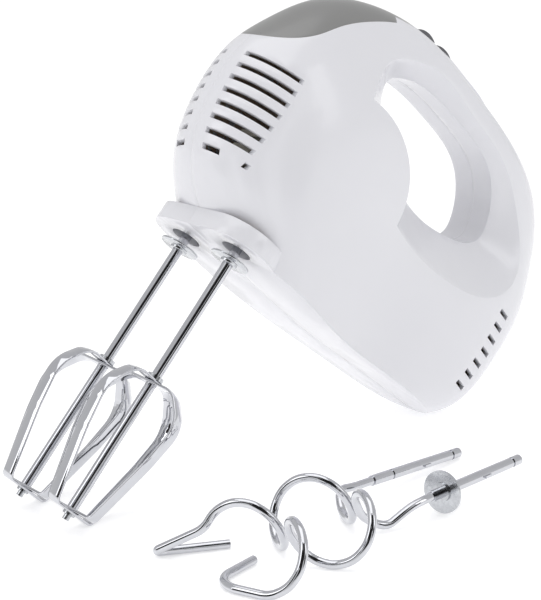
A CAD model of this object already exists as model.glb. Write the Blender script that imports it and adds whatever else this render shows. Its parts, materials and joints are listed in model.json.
# %% [markdown]
# # A hand mixer with wire beaters and two dough hooks
# The solid parts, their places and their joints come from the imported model, which is loaded
# first and never moved. This script gives each part its finish, softens the moulded edges,
# and adds the small things that a maker prints, presses or fits last.

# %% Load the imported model
import json
import math

import bmesh
import bpy
from mathutils import Matrix, Vector
from mathutils.bvhtree import BVHTree


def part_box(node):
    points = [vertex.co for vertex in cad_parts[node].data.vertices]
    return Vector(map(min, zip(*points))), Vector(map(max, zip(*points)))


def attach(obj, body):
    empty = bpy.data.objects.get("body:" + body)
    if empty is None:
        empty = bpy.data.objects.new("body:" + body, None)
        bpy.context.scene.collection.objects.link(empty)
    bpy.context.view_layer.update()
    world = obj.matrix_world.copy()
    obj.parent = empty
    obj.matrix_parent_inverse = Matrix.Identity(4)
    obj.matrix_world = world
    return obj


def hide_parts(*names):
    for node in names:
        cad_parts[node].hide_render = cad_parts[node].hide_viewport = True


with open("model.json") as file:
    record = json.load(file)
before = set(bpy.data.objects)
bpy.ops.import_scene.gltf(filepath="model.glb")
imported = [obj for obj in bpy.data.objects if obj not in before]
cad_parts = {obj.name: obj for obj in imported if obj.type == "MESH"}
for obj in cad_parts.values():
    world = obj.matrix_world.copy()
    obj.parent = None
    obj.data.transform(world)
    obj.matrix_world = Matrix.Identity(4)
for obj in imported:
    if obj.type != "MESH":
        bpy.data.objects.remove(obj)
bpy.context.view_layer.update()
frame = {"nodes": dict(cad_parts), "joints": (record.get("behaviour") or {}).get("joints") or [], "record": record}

# %% [markdown]
# The mixer stands leaning back, with its beater shafts pointing forward and down. Two shafts
# give that direction, so everything that follows the leaning body is placed from the packed
# model and not from typed numbers.

# %% Directions of the leaning body
joints = {joint["name"]: joint for joint in frame["joints"]}
DOWN = Vector(joints["left_beater_pull"]["axis"]).normalized()
LEFT = Vector((0, 1, 0))
NOSE = LEFT.cross(-DOWN).normalized()
if NOSE.x < 0:
    NOSE = -NOSE
LEFT_WHEEL = Vector(joints["left_spindle_spin"]["pos_m"])
RIGHT_WHEEL = Vector(joints["right_spindle_spin"]["pos_m"])
MIDDLE = (LEFT_WHEEL + RIGHT_WHEEL) / 2
MM = 0.001
WORM_HEIGHT = 31 * MM
SOCKET = MIDDLE + DOWN * WORM_HEIGHT
print("nose direction", [round(v, 3) for v in NOSE], "socket face at", [round(v, 4) for v in SOCKET])

# %% [markdown]
# Every material here is made of shader nodes. Colours are picked as hex values, which are
# sRGB, and the renderer wants linear light, so one function turns one into the other.

# %% Colour and node helpers
def linear(hex_value):
    """An sRGB hex colour as linear RGBA."""
    parts = [int(hex_value[i:i + 2], 16) / 255 for i in (1, 3, 5)]
    return [p / 12.92 if p <= 0.04045 else ((p + 0.055) / 1.055) ** 2.4 for p in parts] + [1.0]


def add_node(material, kind, settings=None, **inputs):
    """Adds one shader node with its settings, input values and links, and returns it."""
    node = material.node_tree.nodes.new(kind)
    for name, value in (settings or {}).items():
        setattr(node, name, value)
    for name, value in inputs.items():
        by_number = name[0] == "i" and name[1:].isdigit()
        socket = node.inputs[int(name[1:]) if by_number else name.replace("_", " ")]
        if isinstance(value, bpy.types.NodeSocket):
            material.node_tree.links.new(value, socket)
        else:
            socket.default_value = value
    return node


def new_material(name):
    """An empty node material with its output and a Principled shader."""
    material = bpy.data.materials.new(name)
    material.use_nodes = True
    material.node_tree.nodes.clear()
    output = material.node_tree.nodes.new("ShaderNodeOutputMaterial")
    shader = material.node_tree.nodes.new("ShaderNodeBsdfPrincipled")
    material.node_tree.links.new(shader.outputs["BSDF"], output.inputs["Surface"])
    return material, shader


# %% [markdown]
# ABS is the usual plastic of a mixer's casing. It is moulded in polished steel, so it is
# glossy, and it carries two faint marks of the mould: a very shallow waviness where it shrank,
# and a fine cloudiness in its gloss from handling. Grey and dark parts are the same plastic
# with less polish, so one function makes all of them.

# %% Moulded ABS
def moulded_abs(name, colour, shade, roughness, ripple_mm, ripple_depth, coat):
    """Glossy moulded plastic: slow colour drift, hazed gloss and shrink ripple."""
    material, shader = new_material(name)
    place = add_node(material, "ShaderNodeTexCoord").outputs["Object"]
    drift = add_node(material, "ShaderNodeTexNoise", Vector=place, Scale=1 / (45 * MM), Detail=2.0)
    tint = add_node(material, "ShaderNodeMix", {"data_type": "RGBA"}, i0=drift.outputs["Fac"],
                    i6=linear(colour), i7=linear(shade))
    haze = add_node(material, "ShaderNodeTexNoise", Vector=place, Scale=1 / (6 * MM), Detail=6.0)
    gloss = add_node(material, "ShaderNodeMapRange", Value=haze.outputs["Fac"], To_Min=roughness * 0.8,
                     To_Max=roughness * 1.25)
    ripple = add_node(material, "ShaderNodeTexNoise", Vector=place, Scale=1 / (ripple_mm * MM), Detail=3.0)
    bump = add_node(material, "ShaderNodeBump", Height=ripple.outputs["Fac"], Strength=0.35,
                    Distance=ripple_depth * MM)
    links = material.node_tree.links
    links.new(tint.outputs[2], shader.inputs["Base Color"])
    links.new(gloss.outputs["Result"], shader.inputs["Roughness"])
    links.new(bump.outputs["Normal"], shader.inputs["Normal"])
    shader.inputs["IOR"].default_value = 1.53
    shader.inputs["Coat Weight"].default_value = coat
    shader.inputs["Coat Roughness"].default_value = 0.04
    return material


WHITE_ABS = moulded_abs("white_gloss_abs", "#E4E4E8", "#DFDFE4", 0.22, 14, 0.05, 0.25)
PALE_ABS = moulded_abs("pale_gloss_abs", "#DFDFE8", "#DADAE4", 0.20, 14, 0.05, 0.25)
GREY_ABS = moulded_abs("grey_satin_abs", "#878786", "#818180", 0.30, 0.9, 0.02, 0.15)
DARK_ABS = moulded_abs("dark_gloss_abs", "#5C5C60", "#525256", 0.20, 8, 0.04, 0.3)
INNER_ABS = moulded_abs("warm_inner_abs", "#D9C7B6", "#CDBAA8", 0.6, 3, 0.05, 0.0)
print("plastics ready")

# %% [markdown]
# The beaters and hooks are drawn steel with a bright chrome plate. Chrome is nearly a mirror,
# and what shows is the room: white lights and dark gaps. The plate is never quite even, so its
# roughness drifts a little, and fine drawing lines run along the wire. The collars are zinc
# plated sheet, whose crystals show as a soft patchwork called spangle.

# %% Metals
def plated_metal(name, colour, shade, roughness, grain_mm, grain_depth, spangle_mm=0.0):
    """Bare or plated metal with drifting roughness, and a crystal patchwork if spangle_mm is set."""
    material, shader = new_material(name)
    place = add_node(material, "ShaderNodeTexCoord").outputs["Object"]
    if spangle_mm:
        pattern = add_node(material, "ShaderNodeTexVoronoi", Vector=place, Scale=1 / (spangle_mm * MM))
        amount = add_node(material, "ShaderNodeSeparateColor", Color=pattern.outputs["Color"]).outputs[0]
    else:
        pattern = add_node(material, "ShaderNodeTexNoise", Vector=place, Scale=1 / (9 * MM), Detail=4.0)
        amount = pattern.outputs["Fac"]
    tint = add_node(material, "ShaderNodeMix", {"data_type": "RGBA"}, i0=amount,
                    i6=linear(colour), i7=linear(shade))
    spread = add_node(material, "ShaderNodeMapRange", Value=amount, To_Min=roughness * 0.7,
                      To_Max=roughness * 1.4)
    grain = add_node(material, "ShaderNodeTexNoise", Vector=place, Scale=1 / (grain_mm * MM), Detail=3.0)
    bump = add_node(material, "ShaderNodeBump", Height=grain.outputs["Fac"], Strength=0.3,
                    Distance=grain_depth * MM)
    links = material.node_tree.links
    links.new(tint.outputs[2], shader.inputs["Base Color"])
    links.new(spread.outputs["Result"], shader.inputs["Roughness"])
    links.new(bump.outputs["Normal"], shader.inputs["Normal"])
    shader.inputs["Metallic"].default_value = 1.0
    return material


CHROME = plated_metal("bright_chrome_plate", "#CFD0D4", "#C4C5CA", 0.05, 1.5, 0.006)
ZINC = plated_metal("spangled_zinc_plate", "#C8CACD", "#BCBEC2", 0.18, 0.7, 0.01, spangle_mm=1.2)
STEEL = plated_metal("turned_steel", "#A9ABAF", "#95979C", 0.30, 0.5, 0.02)
LAMINATED = plated_metal("laminated_steel", "#6A6B70", "#57585D", 0.45, 0.5, 0.04)
COPPER = plated_metal("enamelled_copper", "#B8683C", "#9C5530", 0.35, 0.6, 0.05)
BRONZE = plated_metal("sintered_bronze", "#A8834A", "#8F6E3C", 0.50, 0.4, 0.04)
NYLON = moulded_abs("white_nylon", "#D6D3C8", "#CBC8BC", 0.45, 1.2, 0.04, 0.0)
RUBBER = moulded_abs("black_rubber", "#1B1B1B", "#151515", 0.60, 0.8, 0.05, 0.0)
BOARD = moulded_abs("green_board", "#2E5A34", "#27502D", 0.40, 1.0, 0.03, 0.0)
CARBON = moulded_abs("pressed_carbon", "#1D1D1F", "#161618", 0.70, 0.5, 0.05, 0.0)
FINISHES = {
    "white_abs": WHITE_ABS, "pale_abs": PALE_ABS, "grey_abs": GREY_ABS, "dark_button": DARK_ABS,
    "chrome_wire": CHROME, "zinc_plated": ZINC, "black_rubber": RUBBER, "steel": STEEL,
    "laminations": LAMINATED, "copper": COPPER, "bronze": BRONZE, "carbon": CARBON, "board": BOARD,
    "nylon": NYLON,
}
SLOT_OF = {part["node"]: part["material_slot"] for part in frame["record"]["subparts"]}
BODIES = frame["record"]["behaviour"]["bodies"]
BODY_OF = {node: body for body, nodes in BODIES.items() for node in nodes}
for node_name, obj in frame["nodes"].items():
    obj.data.materials.clear()
    obj.data.materials.append(FINISHES[SLOT_OF[node_name]])
print("finished", len(SLOT_OF), "nodes in", len(FINISHES), "materials")

# %% [markdown]
# A moulding never has a knife edge: its corners are rounded by the tool, and the line where
# two mouldings meet is a fine groove between two small radii. A copy of each visible part is
# merged into one skin and given a small bevel at its sharp edges, and the copy is shown in
# place of the part that it came from.

# %% Softened copies
def softened(node_name, width_mm, segments=2, angle=32.0):
    """A copy of a node with small rounded edges, shown in the node's place."""
    source = frame["nodes"][node_name]
    shape = bmesh.new()
    shape.from_mesh(source.data)
    bmesh.ops.remove_doubles(shape, verts=shape.verts, dist=0.01 * MM)
    bmesh.ops.dissolve_degenerate(shape, edges=shape.edges, dist=0.01 * MM)
    mesh = bpy.data.meshes.new(node_name + "_skin")
    shape.to_mesh(mesh)
    shape.free()
    piece = bpy.data.objects.new(node_name + "_skin", mesh)
    bpy.context.collection.objects.link(piece)
    mesh.materials.append(source.data.materials[0])
    mesh.shade_smooth()
    bevel = piece.modifiers.new("edge_radius", "BEVEL")
    bevel.width = width_mm * MM
    bevel.segments = segments
    bevel.limit_method = "ANGLE"
    bevel.angle_limit = math.radians(angle)
    bevel.harden_normals = True
    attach(piece, BODY_OF[node_name])
    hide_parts(node_name)
    return piece


CASING = ("left_housing", "right_housing", "top_panel", "handle_cover")
CASING_EDGE_MM = 0.35
BUTTON_EDGE_MM = 0.6
STRIP_EDGE_MM = 0.25
SKINS = {}
for skin_name in CASING:
    SKINS[skin_name] = softened(skin_name, CASING_EDGE_MM)
for skin_name in ("speed_slider", "eject_button"):
    SKINS[skin_name] = softened(skin_name, BUTTON_EDGE_MM)
for side in ("left", "right"):
    for part in ("outer_loop", "inner_loop", "beater_collar"):
        SKINS[f"{side}_{part}"] = softened(f"{side}_{part}", STRIP_EDGE_MM)
print("softened", len(SKINS), "parts")

# %% [markdown]
# The inside of the casing is left as it came from the tool, matt and a little yellow, and what
# shows through the cooling slots is a dim, warm gap. Rays tell inside from outside: a face of
# the inner wall looks at plastic in every direction, and a face of the outer wall sees the
# open room in some of them.

# %% Matt inner walls
def casing_tree():
    """One search tree over all the casing's skins."""
    corners, faces = [], []
    for name in CASING:
        mesh = SKINS[name].data
        start = len(corners)
        corners += [v.co.copy() for v in mesh.vertices]
        faces += [tuple(start + i for i in polygon.vertices) for polygon in mesh.polygons]
    return BVHTree.FromPolygons(corners, faces)


def look_directions(rings=4, spokes=6):
    """Directions spread over a whole sphere."""
    for ring in range(rings):
        height = -1 + (2 * ring + 1) / rings
        reach = math.sqrt(1 - height * height)
        for spoke in range(spokes):
            turn = math.tau * (spoke + ring / rings) / spokes
            yield Vector((reach * math.cos(turn), reach * math.sin(turn), height))


tree = casing_tree()
LOOKS = list(look_directions())
EYE_HEIGHT = 0.15 * MM
for name in CASING:
    mesh = SKINS[name].data
    mesh.materials.append(INNER_ABS)
    inner_faces = 0
    for polygon in mesh.polygons:
        eye = polygon.center + polygon.normal * EYE_HEIGHT
        if all(tree.ray_cast(eye, look)[0] is not None for look in LOOKS):
            polygon.material_index = 1
            inner_faces += 1
    print(name, inner_faces, "inner faces of", len(mesh.polygons))

# %% [markdown]
# The speed marks are pad printed: a film of ink a few hundredths of a millimetre thick that
# follows the curve of the panel. Flat digits are laid out along the mixer and dropped onto the
# panel, point by point.

# %% Printed speed marks
INK = moulded_abs("dark_printing_ink", "#4A4B52", "#44454C", 0.5, 0.6, 0.01, 0.0)
DIGIT_HEIGHT = 4.6 * MM
DIGIT_PITCH = 6.2 * MM
FIRST_DIGIT = -16 * MM
INK_FILM = 0.05 * MM
FONT_SIZE = DIGIT_HEIGHT * 1.35  # a digit stands about three quarters of its font size
DROP_FROM = 0.25
panel_tree = BVHTree.FromObject(SKINS["top_panel"], bpy.context.evaluated_depsgraph_get())


def printed_digit(digit, along):
    """One digit of ink on the panel, at a distance along the mixer from its beater axes."""
    curve = bpy.data.curves.new(f"digit_{digit}", "FONT")
    curve.body = str(digit)
    curve.size = FONT_SIZE
    curve.align_x, curve.align_y = "CENTER", "CENTER"
    text = bpy.data.objects.new("text", curve)
    flat = bpy.data.meshes.new_from_object(text)
    bpy.data.objects.remove(text)
    shape = bmesh.new()
    shape.from_mesh(flat)
    bmesh.ops.subdivide_edges(shape, edges=shape.edges, cuts=1)
    bmesh.ops.triangulate(shape, faces=shape.faces)
    for vert in shape.verts:
        above = SOCKET + NOSE * (along + vert.co.y) - LEFT * vert.co.x - DOWN * DROP_FROM
        vert.co = panel_tree.ray_cast(above, DOWN)[0] - DOWN * INK_FILM
    mesh = bpy.data.meshes.new(f"speed_mark_{digit}")
    shape.to_mesh(mesh)
    shape.free()
    piece = bpy.data.objects.new(f"speed_mark_{digit}", mesh)
    bpy.context.collection.objects.link(piece)
    mesh.materials.append(INK)
    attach(piece, "body")
    return piece


for digit in range(1, 5):
    printed_digit(digit, FIRST_DIGIT + DIGIT_PITCH * digit)
print("printed the speed marks")

# %% [markdown]
# The thumb slides the speed knob, so its top has a few moulded ridges. Each starts as a box
# that is rounded all along, which leaves a soft bar standing a third of a millimetre proud.

# %% Grip ridges on the speed knob
knob_low, knob_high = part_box("speed_slider")
knob_middle = (knob_low + knob_high) / 2
knob_tree = BVHTree.FromObject(SKINS["speed_slider"], bpy.context.evaluated_depsgraph_get())
RIDGE_WIDTH = 0.7 * MM
RIDGE_LENGTH = 8.0 * MM
RIDGE_PITCH = 2.0 * MM
RIDGE_COUNT = 4
ABOVE_KNOB = 0.05


def grip_ridge(index, along):
    """One rounded bar across the knob."""
    shape = bmesh.new()
    bmesh.ops.create_cube(shape, size=1.0)
    bmesh.ops.scale(shape, vec=(RIDGE_WIDTH, RIDGE_LENGTH, RIDGE_WIDTH), verts=shape.verts)
    bmesh.ops.bevel(shape, geom=shape.edges, offset=0.25 * MM, segments=3, profile=0.5,
                    affect="EDGES", material=-1)
    above = knob_middle + NOSE * along - DOWN * ABOVE_KNOB
    seat = knob_tree.ray_cast(above, DOWN)[0]
    lean = Matrix((NOSE, LEFT, -DOWN)).transposed().to_4x4()
    bmesh.ops.transform(shape, matrix=Matrix.Translation(seat) @ lean, verts=shape.verts)
    mesh = bpy.data.meshes.new(f"grip_ridge_{index}")
    shape.to_mesh(mesh)
    shape.free()
    mesh.shade_smooth()
    mesh.materials.append(DARK_ABS)
    piece = bpy.data.objects.new(f"grip_ridge_{index}", mesh)
    bpy.context.collection.objects.link(piece)
    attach(piece, "speed_control")
    return piece


for index in range(RIDGE_COUNT):
    grip_ridge(index, (index - (RIDGE_COUNT - 1) / 2) * RIDGE_PITCH)
print("ridges on the knob")

# %% [markdown]
# The mixer stands on a glossy sheet of white acrylic that glows a little from below, as on a
# light table, so that its shadows are faint.

# %% White table
TABLE_SIZE = 20.0


def stage_plane(name, size, matrix, material):
    """A flat board of the set, which is no part of the mixer."""
    shape = bmesh.new()
    bmesh.ops.create_grid(shape, x_segments=1, y_segments=1, size=size / 2)
    mesh = bpy.data.meshes.new(name)
    shape.to_mesh(mesh)
    shape.free()
    plane = bpy.data.objects.new(name, mesh)
    plane.matrix_world = matrix
    mesh.materials.append(material)
    bpy.context.collection.objects.link(plane)
    return plane


table_top, table_shader = new_material("white_acrylic_table")
table_shader.inputs["Base Color"].default_value = linear("#FBFBFB")
table_shader.inputs["Roughness"].default_value = 0.10
table_shader.inputs["IOR"].default_value = 1.49
table_shader.inputs["Emission Color"].default_value = linear("#FFFFFF")
table_shader.inputs["Emission Strength"].default_value = 0.36
stage_plane("table", TABLE_SIZE, Matrix.Identity(4), table_top)
print("table", TABLE_SIZE, "m wide")

# %% [markdown]
# A long lens from nearly a metre away keeps the mixer's proportions true. The camera stands
# to the left of the nose and a little above it, and is rolled by about a degree.

# %% Camera
CAMERA_AT = Vector((0.52187, 0.56284, 0.28358))
AIM_AT = Vector((0.0386, -0.0259, 0.0855))
ROLL = math.radians(-0.897)
camera_data = bpy.data.cameras.new("camera")
camera_data.lens = 102.0
camera_data.sensor_width = 36.0
camera_data.clip_start = 0.01
camera = bpy.data.objects.new("camera", camera_data)
bpy.context.collection.objects.link(camera)
turn = (AIM_AT - CAMERA_AT).to_track_quat("-Z", "Y").to_matrix().to_4x4()
camera.matrix_world = Matrix.Translation(CAMERA_AT) @ turn @ Matrix.Rotation(ROLL, 4, "Z")
bpy.context.scene.camera = camera
print("camera", round((AIM_AT - CAMERA_AT).length, 3), "m from what it aims at")

# %% [markdown]
# Large soft boxes give broad, quiet highlights, and a bright room all round fills the shadows.
# The room is brightest near the horizon, which is what a glossy table mirrors.

# %% Soft boxes and room
MIXER_MIDDLE = Vector((0, 0, 0.08))


def facing_mixer(at, axis):
    """The place and turn of something at a point whose axis looks at the mixer."""
    look = (MIXER_MIDDLE - Vector(at)).to_track_quat(axis, "Y").to_matrix().to_4x4()
    return Matrix.Translation(Vector(at)) @ look


def soft_box(name, at, size, power):
    """A rectangular light aimed at the mixer."""
    data = bpy.data.lights.new(name, "AREA")
    data.shape = "RECTANGLE"
    data.size, data.size_y = size
    data.energy = power
    light = bpy.data.objects.new(name, data)
    bpy.context.collection.objects.link(light)
    light.matrix_world = facing_mixer(at, "-Z")
    return light


soft_box("overhead_box", (0.1, -0.1, 1.6), (1.4, 1.4), 6)
soft_box("left_box", (1.4, -0.3, 0.8), (0.5, 1.2), 3)
soft_box("right_box", (-0.7, 1.4, 0.9), (0.5, 1.2), 2.5)

world = bpy.data.worlds.new("studio")
bpy.context.scene.world = world
world.use_nodes = True
sky = add_node(world, "ShaderNodeTexCoord").outputs["Generated"]
height = add_node(world, "ShaderNodeSeparateXYZ", Vector=sky).outputs["Z"]
ramp = add_node(world, "ShaderNodeValToRGB", Fac=height)
ramp.color_ramp.elements[0].position = 0.05
ramp.color_ramp.elements[0].color = (1.0, 1.0, 1.0, 1.0)
ramp.color_ramp.elements[1].position = 0.60
ramp.color_ramp.elements[1].color = (0.90, 0.90, 0.91, 1.0)
background = world.node_tree.nodes["Background"]
world.node_tree.links.new(ramp.outputs["Color"], background.inputs["Color"])
background.inputs["Strength"].default_value = 0.74
bpy.context.scene.view_settings.view_transform = "Standard"
print("three soft boxes and the room")

# %% [markdown]
# Bright chrome in white light alone looks like grey plastic. Its depth comes from dark things
# that it mirrors, so black boards stand behind, above and beside the camera. They are seen
# only in reflections, and cast no shadow.

# %% Black boards
black_board, black_shader = new_material("black_board")
black_shader.inputs["Base Color"].default_value = linear("#060606")
black_shader.inputs["Roughness"].default_value = 0.9


def board_at(name, at, size):
    """A black board facing the mixer, which shows only in reflections."""
    board = stage_plane(name, size, facing_mixer(at, "Z"), black_board)
    board.visible_camera = False
    board.visible_diffuse = False
    board.visible_shadow = False
    return board


board_at("board_behind_camera", (0.78, 0.84, 0.34), 0.90)
board_at("board_above_camera", (0.45, 0.88, 0.95), 1.00)
board_at("board_above_nose", (1.05, 0.35, 0.75), 0.50)
board_at("board_left", (1.25, -0.05, 0.20), 0.60)
board_at("board_right", (-0.25, 1.20, 0.25), 0.50)
print("black boards up")

# %% [markdown]
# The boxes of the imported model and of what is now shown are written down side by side, because
# a finish must not make the object bigger. The last line then checks every piece.

# %% Measure and finish
print("size written")
